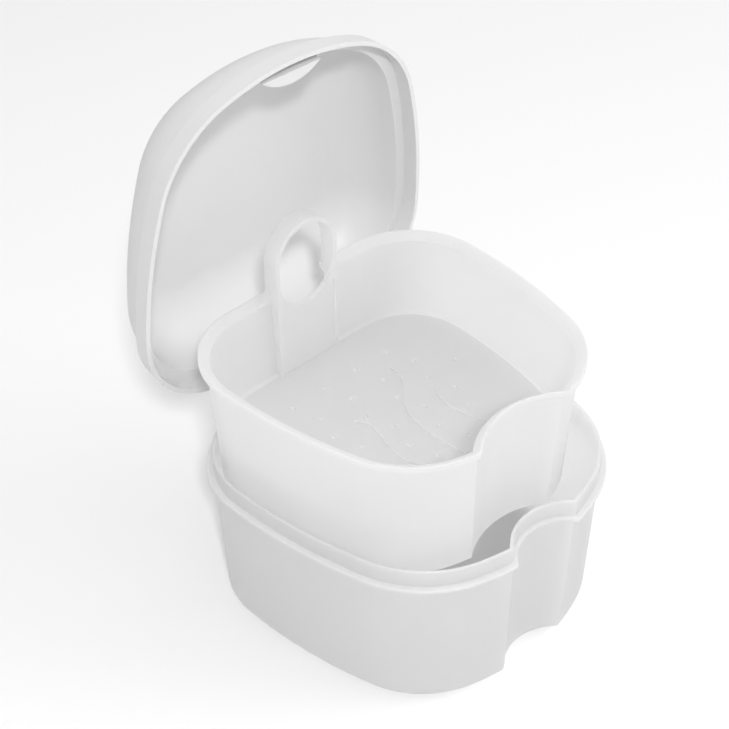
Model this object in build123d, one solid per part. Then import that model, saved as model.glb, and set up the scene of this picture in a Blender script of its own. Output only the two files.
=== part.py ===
"""Denture bath box: a cup with a thumb scoop, a strainer basket with a finger loop, a hinged lid.

Millimetres, +Z up, +Y to the hinge. The origin is on the table under the middle of the cup.
The lid stands open and the basket is lifted clear of the cup.
"""
import os
from math import atan2, degrees, hypot, sqrt

from build123d import *

# Plan outline of the case: five arcs each side, tangent to one another
HALF_WIDTH = 42.9
WIDEST_Y = 17.8        # where the side arcs are furthest out
BACK_Y = 41.3
FRONT_Y = -41.3
BACK_R = 1500.0
SIDE_R = 131.0
FRONT_R = 60.8
BACK_CORNER_R = 23.7
FRONT_CORNER_R = 28.1

# Thumb scoop in the front wall
SCOOP_Y = -47.6
SCOOP_R = 12.4
SCOOP_LIP_IN = 1.0     # lip and wall behind the scoop's edge

# Cup
FLANGE_TOP = 39.7
FLANGE_T = 0.85
LIP_TOP = 43.9
LIP_IN = 1.45          # lip's outer face, inwards from the flange's edge
LIP_T = 0.8
CUP_FOOT_IN = 2.95     # outer wall at the table
CUP_NECK_IN = 1.5      # outer wall under the flange
CUP_FLOOR_IN = 4.1     # inner wall at the floor
CUP_FLOOR_T = 1.2
CUP_FOOT_ROUND = 4.5
SCOOP_DRAFT = 0.5

# Basket, in its own frame: the rim's edge at height 0
RIM_IN = 4.1
RIM_T = 1.27
RIM_EDGE = 0.3         # flat on top of the edge
RIM_DISH = 1.45        # fall of the rim's top from its edge to the inner wall
RIM_FLARE = 1.0        # height of the slope under the rim
RIM_CORNER = 1.5       # rounding where the rim turns into the scoop
WALL_IN = 5.6          # basket wall's outer face at the rim
WALL_DRAFT = 0.055     # lean of the wall per millimetre of depth
WALL_T = 1.0
BASKET_DEPTH = 33.2    # to the foot of the skirt
STRAINER_DEPTH = 22.2  # to the top of the strainer floor
STRAINER_T = 1.4
KERB = 0.7             # slope where the wall meets the strainer floor
BASKET_SCOOP_Y = -49.5
BASKET_SCOOP_R = 19.6
BASKET_SCOOP_WALL = 20.5
BASKET_SCOOP_DRAFT = 0.015

# Finger loop: a flat strip bent into an arch
LOOP_HALF = 9.2
LOOP_TOP = 17.8
LOOP_T = 1.0
LOOP_DEPTH = 4.3
LOOP_SET = 1.0         # strip's back edge, in from the rim's
LOOP_FLARE = 4.2
GRIP_BOTTOM = -4.4     # lowest point of the finger hole
PANEL_SET = 0.3        # panel under the hole, back from the strip's front edge
PANEL_T = 1.0

# Strainer floor: swaying columns of drain holes with wavy ribs between them
HOLE_R = 0.6
COLUMN_X = -3.8
COLUMN_PITCH = 10.0
ROW_Y = -12.8
ROW_PITCH = 6.9
SWAY = 1.1
RIB_W = 1.1
RIB_H = 0.5

# Basket poses
BASKET_UP = (-4.75, -0.3, 74.6)
BASKET_DOWN = (0.0, -1.0, 34.6)

# Lid, closed
LID_Z = 40.0
LID_H = 20.8
LID_T = 1.0
LEDGE_T = 0.85
LID_RIM_T = 1.1
SKIRT_H = 5.1
SKIRT_DRAFT = 0.5
DOME_FOOT_IN = 2.9
DOME_HEAD_IN = 5.0
DOME_ROUND = 14.4
THUMB_R = 13.0         # thumb rest, inside the scoop when the lid is shut
THUMB_Y = -37.6
THUMB_Z = 41.0

# Hinge
HINGE_Y = 46.8
HINGE_Z = 40.9
OPEN_ANGLE = 84.8
KNUCKLE_HALF = 15.5
KNUCKLE_R = 2.3
PEG_R = 1.25
PEG_RUN = 0.06
EAR_T = 2.8
EAR_GAP = 0.35
EAR_ROOT_Z = 30.5


def crossing(c0, r0, c1, r1):
    """Crossing point of two circles, the one with the larger x."""
    gap = c1 - c0
    along = (r0 * r0 - r1 * r1 + gap.length ** 2) / (2 * gap.length)
    across = sqrt(r0 * r0 - along * along)
    unit = gap.normalized()
    ends = [c0 + unit * along + Vector(-unit.Y, unit.X) * s for s in (across, -across)]
    return max(ends, key=lambda p: p.X)


def heading(a, b):
    return degrees(atan2(b.Y - a.Y, b.X - a.X))


def outline(inset):
    """Face inside the case's plan outline, its edge moved inwards by inset."""
    back = Vector(0, BACK_Y - BACK_R)
    side = Vector(HALF_WIDTH - SIDE_R, WIDEST_Y)
    front = Vector(0, FRONT_Y + FRONT_R)
    rear = crossing(back, BACK_R - BACK_CORNER_R, side, SIDE_R - BACK_CORNER_R)
    fore = crossing(front, FRONT_R - FRONT_CORNER_R, side, SIDE_R - FRONT_CORNER_R)
    turns = [
        (front, FRONT_R, -90, heading(front, fore)),
        (fore, FRONT_CORNER_R, heading(front, fore), heading(side, fore)),
        (side, SIDE_R, heading(side, fore), heading(side, rear)),
        (rear, BACK_CORNER_R, heading(side, rear), heading(back, rear)),
        (back, BACK_R, heading(back, rear), 90),
    ]
    half = [CenterArc(c, r - inset, a, b - a) for c, r, a, b in turns]
    other = [mirror(arc, Plane.YZ) for arc in half]
    return make_face(Wire([edge for arc in half + other for edge in arc.edges()]))


def block(z0, z1, inset0, inset1):
    """Solid between the outline at two heights."""
    if inset0 == inset1:
        return Pos(0, 0, z0) * extrude(outline(inset0), z1 - z0)
    return loft([Pos(0, 0, z0) * outline(inset0), Pos(0, 0, z1) * outline(inset1)])


def scoop(z0, z1, r0, r1, y=SCOOP_Y):
    """Upright cone that takes the thumb scoop out of a wall."""
    lift = Pos(0, y, z0)
    if r0 == r1:
        return lift * extrude(Circle(r0), z1 - z0)
    return lift * loft([Circle(r0), Pos(0, 0, z1 - z0) * Circle(r1)])


def round_foot(solid, radius):
    """Solid with the edges of its lowest face rounded."""
    return fillet(solid.faces().sort_by(Axis.Z)[0].edges(), radius)


def plan(inset, radius, y, corner):
    """Outline with the scoop cut out and the two corners it leaves rounded."""
    face = outline(inset) - Pos(0, y) * Circle(radius)
    ends = [v for v in face.vertices() if v.Y < 0.7 * FRONT_Y and abs(hypot(v.X, v.Y - y) - radius) < 0.001]
    return fillet([v for v in ends if abs(v.X) > 0.3 * radius], corner)


def scooped(z0, z1, inset0, inset1, radius0, radius1, y=SCOOP_Y):
    """Block with the thumb scoop taken out of its front."""
    return block(z0, z1, inset0, inset1) - scoop(z0, z1, radius0, radius1, y)


def make_cup():
    neck = FLANGE_TOP - FLANGE_T
    wall = SCOOP_R + SCOOP_LIP_IN
    body = scooped(0, neck, CUP_FOOT_IN, CUP_NECK_IN, wall + SCOOP_DRAFT, wall)
    body = round_foot(body, CUP_FOOT_ROUND)
    flange = Pos(0, 0, neck) * extrude(plan(0, SCOOP_R, SCOOP_Y, 0.9), FLANGE_T)
    body += chamfer(flange.edges().group_by(Axis.Z)[-1], 0.2)

    lip_in, inner_wall = LIP_IN + LIP_T, wall + LIP_T
    inner = scooped(CUP_FLOOR_T, FLANGE_TOP, CUP_FLOOR_IN, lip_in, inner_wall + SCOOP_DRAFT, inner_wall)
    inner = round_foot(inner, CUP_FOOT_ROUND - 1.2)
    lip = plan(LIP_IN, wall, SCOOP_Y, 1.3) - plan(lip_in, inner_wall, SCOOP_Y, 0.6)
    lip = extrude(lip, LIP_TOP - FLANGE_TOP)
    lip = chamfer(lip.faces().sort_by(Axis.Z)[-1].edges(), 0.25)
    return (body - inner) + Pos(0, 0, FLANGE_TOP) * lip + ears()


def ears():
    """Pair of hinge ears on the back wall, bored for the lid's pegs."""
    boss = KNUCKLE_R + 0.4
    top = FLANGE_TOP - 0.35
    web = Polyline(
        (BACK_Y - 1.6, EAR_ROOT_Z), (HINGE_Y + 0.6 * boss, HINGE_Z - 0.8 * boss),
        (HINGE_Y, HINGE_Z), (HINGE_Y - boss, HINGE_Z), (BACK_Y + 1.2, top),
        (BACK_Y - 1.6, top), close=True)
    axle = Pos(HINGE_Y, HINGE_Z)
    profile = make_face(web) + axle * Circle(boss) - axle * Circle(PEG_R + PEG_RUN)
    ear = extrude(Plane.YZ * profile, EAR_T)
    start = KNUCKLE_HALF + EAR_GAP
    return Pos(start, 0, 0) * ear + Pos(-start - EAR_T, 0, 0) * ear


def wall_at(z, inward=0):
    """Inset and scoop radius of the basket wall's outer face at a height."""
    return WALL_IN - WALL_DRAFT * z + inward, BASKET_SCOOP_WALL - BASKET_SCOOP_DRAFT * z + inward


def basket_block(z0, z1, low, high):
    """Solid between two heights, given the inset and scoop radius at each."""
    return scooped(z0, z1, low[0], high[0], low[1], high[1], BASKET_SCOOP_Y)


def make_basket():
    under, floor_z, kerb = -RIM_T - RIM_FLARE, -STRAINER_DEPTH, KERB - STRAINER_DEPTH
    edge, lip = (RIM_IN, BASKET_SCOOP_R), (RIM_IN + RIM_EDGE, BASKET_SCOOP_R + RIM_EDGE)
    body = basket_block(-BASKET_DEPTH, under, wall_at(-BASKET_DEPTH), wall_at(under))
    rim = basket_block(under, -RIM_T, wall_at(under), edge) + basket_block(-RIM_T, 0, edge, edge)
    body += rim & rim_corners(under, edge, RIM_CORNER)

    foot, under_floor = -BASKET_DEPTH - 0.01, floor_z - STRAINER_T
    body -= basket_block(foot, under_floor, wall_at(foot, WALL_T), wall_at(under_floor, WALL_T))
    inner = basket_block(floor_z, kerb, wall_at(floor_z, WALL_T + KERB), wall_at(kerb, WALL_T))
    inner += basket_block(kerb, -RIM_DISH, wall_at(kerb, WALL_T), wall_at(-RIM_DISH, WALL_T))
    dish = basket_block(-RIM_DISH, 0.01, wall_at(-RIM_DISH, WALL_T), lip)
    inner += dish & rim_corners(-RIM_DISH, lip, RIM_CORNER - RIM_EDGE)

    front = BACK_Y - RIM_IN - LOOP_SET - LOOP_DEPTH
    room = body + Pos(0, front, LOOP_TOP / 2) * Box(60, 20, LOOP_TOP)
    fittings = (loop(front, under) + braces(front, floor_z)) & room
    basket = body - inner + fittings - grip(front, floor_z)
    return basket + floor_ribs(floor_z) - drain_holes(floor_z)


def rim_corners(foot_z, edge, corner):
    """Upright block up to the rim's top, with rounded corners at the scoop."""
    inset, radius = edge
    return Pos(0, 0, foot_z) * extrude(plan(inset, radius, BASKET_SCOOP_Y, corner), 0.01 - foot_z)


def loop(front, foot_z):
    """Finger loop: the bent strip and the flares that blend it into the rim."""
    leg = LOOP_TOP - LOOP_HALF
    arch = Pos(0, leg) * Circle(LOOP_HALF) + Pos(0, (leg + foot_z) / 2) * Rectangle(
        2 * LOOP_HALF, leg - foot_z)
    strip = extrude(Plane.XZ * arch, -LOOP_DEPTH)
    foot = arch + Pos(0, (foot_z - RIM_DISH) / 2) * Rectangle(4 * LOOP_HALF, -RIM_DISH - foot_z)
    corners = [v for v in foot.vertices() if abs(abs(v.X) - LOOP_HALF) < 0.01 and abs(v.Y + RIM_DISH) < 0.01]
    wall = BACK_Y - WALL_IN - WALL_T - front
    flare = extrude(Plane.XZ * fillet(corners, LOOP_FLARE), wall - LOOP_DEPTH)
    return Pos(0, front, 0) * strip + Pos(0, front + wall, 0) * flare


def grip(front, floor_z):
    """Finger hole, and the recess behind the panel below it."""
    half = LOOP_HALF - LOOP_T
    top, bottom = LOOP_TOP - LOOP_HALF, GRIP_BOTTOM + half
    hole = Pos(0, top) * Circle(half) + Pos(0, bottom) * Circle(half)
    hole += Pos(0, (top + bottom) / 2) * Rectangle(2 * half, top - bottom)
    recess = Pos(0, front + PANEL_SET + PANEL_T + 5, (floor_z + bottom) / 2) * Box(
        2 * half, 10, bottom - floor_z)
    return Pos(0, front - 3, 0) * extrude(Plane.XZ * hole, -12) + recess


def braces(front, floor_z):
    """Ribs under the loop's legs and the thin panel between them."""
    deep, middle = BACK_Y - RIM_IN - front, floor_z / 2
    slab = Pos(0, front + PANEL_SET + PANEL_T / 2, middle) * Box(2 * LOOP_HALF, PANEL_T, -floor_z)
    for side in (-1, 1):
        slab += Pos(side * (LOOP_HALF - LOOP_T / 2), front + deep / 2, middle) * Box(LOOP_T, deep, -floor_z)
    return slab


def floor_ribs(floor_z):
    """Wavy ribs that hold the denture off the floor."""
    courses = (
        Spline((-7.6, 9.0), (-6.1, 5.4), (-8.2, -4.4), (-6.8, -13.0)),
        Spline((11.9, 16.5), (9.6, 9.8), (4.2, 3.6), (1.8, -5.0), (2.7, -17.0)),
        Spline((13.6, 3.5), (11.8, -5.5), (15.0, -13.0)),
    )
    ribs = Part()
    for course in courses:
        ribs += Pos(0, 0, floor_z - 0.2) * extrude(trace(course, RIB_W), RIB_H + 0.2)
    return ribs


def drain_holes(floor_z):
    holes = []
    for row in range(6):
        for column in range(-2, 4):
            x = COLUMN_X + COLUMN_PITCH * column + (SWAY if row % 2 == 0 else -SWAY)
            y = ROW_Y + ROW_PITCH * row
            if hypot(x / 27.5, (y - 4) / 24) < 1:
                holes.append(Pos(x, y))
    punch = extrude(Sketch() + [spot * Circle(HOLE_R) for spot in holes], STRAINER_T + 2)
    return Pos(0, 0, floor_z - STRAINER_T - 1) * punch


def dome(z0, z1, extra, radius):
    """Domed solid above the ledge, its wall and top moved inwards by extra."""
    solid = block(z0, z1, DOME_FOOT_IN + extra, DOME_HEAD_IN + extra)
    return fillet(solid.faces().sort_by(Axis.Z)[-1].edges(), radius)


def make_lid():
    """Lid as it sits when shut."""
    ledge, top = LID_Z + SKIRT_H, LID_Z + LID_H
    skirt = block(LID_Z, ledge, 0, SKIRT_DRAFT)
    skirt = chamfer(skirt.edges().group_by(Axis.Z)[-1], 0.6)
    hollow = block(LID_Z, ledge - LEDGE_T, LID_RIM_T, LID_RIM_T)
    bowl = dome(ledge - LEDGE_T, top - LID_T, LID_T, DOME_ROUND - LID_T)
    lid = skirt + dome(ledge - 0.5, top, 0, DOME_ROUND) - hollow - bowl

    crescent = Pos(0, SCOOP_Y) * Circle(THUMB_R) & Pos(0, THUMB_Y + 10) * Rectangle(40, 20)
    rest = Pos(0, 0, THUMB_Z) * extrude(crescent, LID_H)
    rest &= hollow + dome(ledge - LEDGE_T, top - 0.4, 0.4, DOME_ROUND - 0.4)
    return lid + rest + knuckle()


def knuckle():
    """Hinge barrel with its two pegs and the web that joins it to the skirt."""
    axle = Plane.YZ * Pos(HINGE_Y, HINGE_Z)
    barrel = extrude(axle * Circle(KNUCKLE_R), KNUCKLE_HALF, both=True)
    pegs = extrude(axle * Circle(PEG_R), KNUCKLE_HALF + EAR_GAP + EAR_T, both=True)
    web = Polyline(
        (BACK_Y - 0.8, LID_Z + 0.2), (BACK_Y + 0.6, LID_Z + 0.2), (HINGE_Y - 1, HINGE_Z - 1),
        (HINGE_Y, HINGE_Z + 1.8), (BACK_Y - 0.8, LID_Z + 3.6), close=True)
    return barrel + pegs + extrude(Plane.YZ * make_face(web), KNUCKLE_HALF, both=True)


if __name__ == "__main__":
    os.makedirs("parts", exist_ok=True)
    hinge = Axis((0, HINGE_Y, HINGE_Z), (1, 0, 0))
    export_step(make_cup(), "parts/cup.step")
    export_step(Pos(*BASKET_UP) * make_basket(), "parts/basket.step")
    export_step(make_lid().rotate(hinge, -OPEN_ANGLE), "parts/lid.step")
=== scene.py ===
from math import cos, radians, sin

import bpy
from mathutils import Matrix, Vector

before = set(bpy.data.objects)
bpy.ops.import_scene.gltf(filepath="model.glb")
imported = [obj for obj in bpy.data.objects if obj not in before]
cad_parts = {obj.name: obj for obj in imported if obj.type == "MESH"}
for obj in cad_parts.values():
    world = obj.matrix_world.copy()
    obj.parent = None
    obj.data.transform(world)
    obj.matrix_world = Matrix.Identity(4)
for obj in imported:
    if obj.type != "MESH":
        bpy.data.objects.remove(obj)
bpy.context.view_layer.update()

# Lengths are in metres and angles in degrees. Azimuth 0 is in front of the object, on its -Y side,
# and azimuth 90 on its +X side.

# Plastic of all three mouldings
PLASTIC_IOR = 1.49
ROUGHNESS_SWING = 0.06
BUMP_STRENGTH = 0.5
SCATTERED_THROUGH = (0.95, 0.95, 0.95, 1.0)
STRAIGHT_THROUGH = (0.97, 0.97, 0.97, 1.0)

# Floor
FLOOR_SIZE = 6.0
FLOOR_GAP = 0.0002  # keeps the floor's face off the cup's bottom face
FLOOR_ROUGHNESS = 0.8
FLOOR_TINT = (0.89, 0.89, 0.89)
FLOOR_SHADE = (0.91, 0.91, 0.91)

# Light
WHITE = (1.0, 1.0, 1.0, 1.0)
WHITE_STRENGTH = 1.0
LIGHT_AIM = Vector((0.0, 0.01, 0.06))

# Camera, fitted to points of the photo
CAMERA_AIM = Vector((-0.00594, 0.00902, 0.06627))
CAMERA_AZIMUTH = -43.54
CAMERA_ELEVATION = 38.57
CAMERA_ROLL = -0.74
CAMERA_DISTANCE = 0.35569
CAMERA_LENS_MM = 78.09
CAMERA_SENSOR_MM = 36.0
CAMERA_SHIFT_X = -0.01144
CAMERA_SHIFT_Y = -0.00682
CAMERA_CLIP_START = 0.01


# ---------------------------------------------------------------- nodes
def add(tree, kind, **values):
    """Add a node. Each value goes to the node's property, or else to its input, of that name."""
    node = tree.nodes.new(kind)
    for key, value in values.items():
        if hasattr(node, key):
            setattr(node, key, value)
        else:
            node.inputs[key.replace("_", " ")].default_value = value
    return node


def link(tree, source, output, target, target_input):
    tree.links.new(source.outputs[output], target.inputs[target_input])


def noise_on_object(tree, **settings):
    """Noise that stays in place on the object."""
    place = add(tree, "ShaderNodeTexCoord")
    noise = add(tree, "ShaderNodeTexNoise", **settings)
    link(tree, place, "Object", noise, "Vector")
    return noise


def drifting_colour(tree, noise, first, second):
    """Colour that drifts between two others as the noise does."""
    colour = add(tree, "ShaderNodeMix", data_type="RGBA", A=(*first, 1.0), B=(*second, 1.0))
    link(tree, noise, "Fac", colour, "Factor")
    return colour


def bumps(tree, noise, height):
    """Bumps of the noise's form."""
    bump = add(tree, "ShaderNodeBump", Strength=BUMP_STRENGTH, Distance=height)
    link(tree, noise, "Fac", bump, "Height")
    return bump


def blend(tree, first, second, share):
    """Surface with a share of the second shader, and the rest of the first."""
    mixed = add(tree, "ShaderNodeMixShader", Fac=share)
    link(tree, first, 0, mixed, 1)
    link(tree, second, 0, mixed, 2)
    return mixed


def larger(tree, first, output, second, second_output):
    """The larger of two nodes' outputs."""
    either = add(tree, "ShaderNodeMath", operation="MAXIMUM")
    link(tree, first, output, either, 0)
    link(tree, second, second_output, either, 1)
    return either


# ---------------------------------------------------------------- materials
def new_material(name):
    """Material with an empty node tree."""
    material = bpy.data.materials.new(name)
    material.use_nodes = True
    material.node_tree.nodes.clear()
    return material


def plastic(name, tint, shade, rough, passes, clear_share, peel, grain):
    """Moulded polypropylene.

    tint and shade are the two colours that drift over the part, and rough is its middling
    roughness. passes is the share of light that each face lets through, and clear_share the
    part of that which isn't scattered. peel is the height of the mould's soft waves and grain
    that of its fine texture.
    """
    material = new_material(name)
    tree = material.node_tree

    drift = noise_on_object(tree, Scale=38.0, Detail=3.0, Roughness=0.55)
    colour = drifting_colour(tree, drift, tint, shade)

    flow = noise_on_object(tree, Scale=16.0, Detail=4.0, Roughness=0.6, Distortion=0.6)
    gloss = add(
        tree,
        "ShaderNodeMapRange",
        From_Min=0.3,
        From_Max=0.7,
        To_Min=rough - ROUGHNESS_SWING,
        To_Max=rough + ROUGHNESS_SWING,
    )
    link(tree, flow, "Fac", gloss, "Value")

    waves = noise_on_object(tree, Scale=150.0, Detail=1.0, Roughness=0.4)
    fine = noise_on_object(tree, Scale=2600.0, Detail=2.0, Roughness=0.5)
    soft_bumps = bumps(tree, waves, peel)
    relief = bumps(tree, fine, grain)
    link(tree, soft_bumps, "Normal", relief, "Normal")

    body = add(tree, "ShaderNodeBsdfPrincipled", IOR=PLASTIC_IOR)
    link(tree, colour, "Result", body, "Base Color")
    link(tree, gloss, "Result", body, "Roughness")
    link(tree, relief, "Normal", body, "Normal")

    milk = add(tree, "ShaderNodeBsdfTranslucent", Color=SCATTERED_THROUGH)
    link(tree, relief, "Normal", milk, "Normal")
    clear = add(tree, "ShaderNodeBsdfTransparent", Color=STRAIGHT_THROUGH)
    through = blend(tree, milk, clear, clear_share)
    surface = blend(tree, body, through, passes)
    link(tree, surface, "Shader", add(tree, "ShaderNodeOutputMaterial"), "Surface")
    return material


def floor_material():
    material = new_material("pale_floor")
    tree = material.node_tree
    cloud = noise_on_object(tree, Scale=1.4, Detail=2.0)
    colour = drifting_colour(tree, cloud, FLOOR_TINT, FLOOR_SHADE)
    body = add(tree, "ShaderNodeBsdfPrincipled", Roughness=FLOOR_ROUGHNESS)
    link(tree, colour, "Result", body, "Base Color")
    link(tree, body, "BSDF", add(tree, "ShaderNodeOutputMaterial"), "Surface")
    return material


finishes = {
    "cup": plastic(
        "cup_plastic",
        tint=(0.76, 0.76, 0.76),
        shade=(0.73, 0.73, 0.732),
        rough=0.42,
        passes=0.7,
        clear_share=0.2,
        peel=0.00004,
        grain=0.000006,
    ),
    "basket": plastic(
        "basket_plastic",
        tint=(0.81, 0.81, 0.81),
        shade=(0.78, 0.78, 0.782),
        rough=0.36,
        passes=0.65,
        clear_share=0.2,
        peel=0.00003,
        grain=0.000005,
    ),
    "lid": plastic(
        "lid_plastic",
        tint=(0.75, 0.75, 0.75),
        shade=(0.73, 0.73, 0.732),
        rough=0.40,
        passes=0.1,
        clear_share=0.0,
        peel=0.00003,
        grain=0.000004,
    ),
}
for node, material in finishes.items():
    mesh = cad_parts[node].data
    mesh.materials.clear()
    mesh.materials.append(material)


# ---------------------------------------------------------------- floor
bpy.ops.mesh.primitive_plane_add(size=FLOOR_SIZE, location=(0.0, 0.0, -FLOOR_GAP))
floor = bpy.context.object
floor.name = "floor"
floor.data.materials.append(floor_material())


# ---------------------------------------------------------------- light
def direction(azimuth, elevation):
    """Unit vector from the object towards what looks at it or lights it."""
    a, e = radians(azimuth), radians(elevation)
    return Vector((sin(a) * cos(e), -cos(a) * cos(e), sin(e)))


def studio_sky(low, high, axis):
    """White light, low from the half that faces away from axis and growing to high towards it.

    The camera, reflections and refractions see it as plain white.
    """
    world = bpy.data.worlds.new("studio")
    bpy.context.scene.world = world
    world.use_nodes = True
    tree = world.node_tree

    place = add(tree, "ShaderNodeTexCoord")
    lean = add(tree, "ShaderNodeVectorMath", operation="DOT_PRODUCT")
    lean.inputs[1].default_value = Vector(axis).normalized()
    ramp = add(tree, "ShaderNodeMapRange", To_Min=low, To_Max=high)
    link(tree, place, "Generated", lean, 0)
    link(tree, lean, "Value", ramp, "Value")

    rays = add(tree, "ShaderNodeLightPath")
    seen_or_glossy = larger(tree, rays, "Is Camera Ray", rays, "Is Glossy Ray")
    shows_white = larger(tree, seen_or_glossy, "Value", rays, "Is Transmission Ray")
    strength = add(tree, "ShaderNodeMix", B=WHITE_STRENGTH)
    link(tree, shows_white, "Value", strength, "Factor")
    link(tree, ramp, "Result", strength, "A")

    background = tree.nodes["Background"]
    background.inputs["Color"].default_value = WHITE
    link(tree, strength, "Result", background, "Strength")


def soft_light(name, azimuth, elevation, distance, size, power):
    """Square light aimed at the middle of the object, its power in watts."""
    place = LIGHT_AIM + distance * direction(azimuth, elevation)
    lamp = bpy.data.lights.new(name, "AREA")
    lamp.size = size
    lamp.energy = power
    holder = bpy.data.objects.new(name, lamp)
    bpy.context.scene.collection.objects.link(holder)
    holder.location = place
    holder.rotation_euler = (LIGHT_AIM - place).to_track_quat("-Z", "Y").to_euler()


studio_sky(low=0.36, high=0.95, axis=(0.2, -0.1, 0.95))
soft_light("key", azimuth=-37.0, elevation=42.0, distance=0.9, size=0.07, power=3.9)
soft_light("fill", azimuth=50.0, elevation=28.0, distance=1.2, size=0.8, power=3.8)


# ---------------------------------------------------------------- camera
def photo_camera():
    """Camera at the photo's angle, with its slight roll and off-centre axis."""
    back = direction(CAMERA_AZIMUTH, CAMERA_ELEVATION)
    right = direction(CAMERA_AZIMUTH + 90.0, 0.0)
    up = back.cross(right)
    roll = radians(CAMERA_ROLL)
    tilted_right = cos(roll) * right + sin(roll) * up
    tilted_up = cos(roll) * up - sin(roll) * right
    turn = Matrix((tilted_right, tilted_up, back)).transposed().to_4x4()

    data = bpy.data.cameras.new("photo_camera")
    data.lens = CAMERA_LENS_MM
    data.sensor_width = CAMERA_SENSOR_MM
    data.shift_x = CAMERA_SHIFT_X
    data.shift_y = CAMERA_SHIFT_Y
    data.clip_start = CAMERA_CLIP_START
    camera = bpy.data.objects.new("photo_camera", data)
    camera.matrix_world = Matrix.Translation(CAMERA_AIM + CAMERA_DISTANCE * back) @ turn
    bpy.context.scene.collection.objects.link(camera)
    bpy.context.scene.camera = camera


photo_camera()
bpy.context.scene.view_settings.view_transform = "Standard"
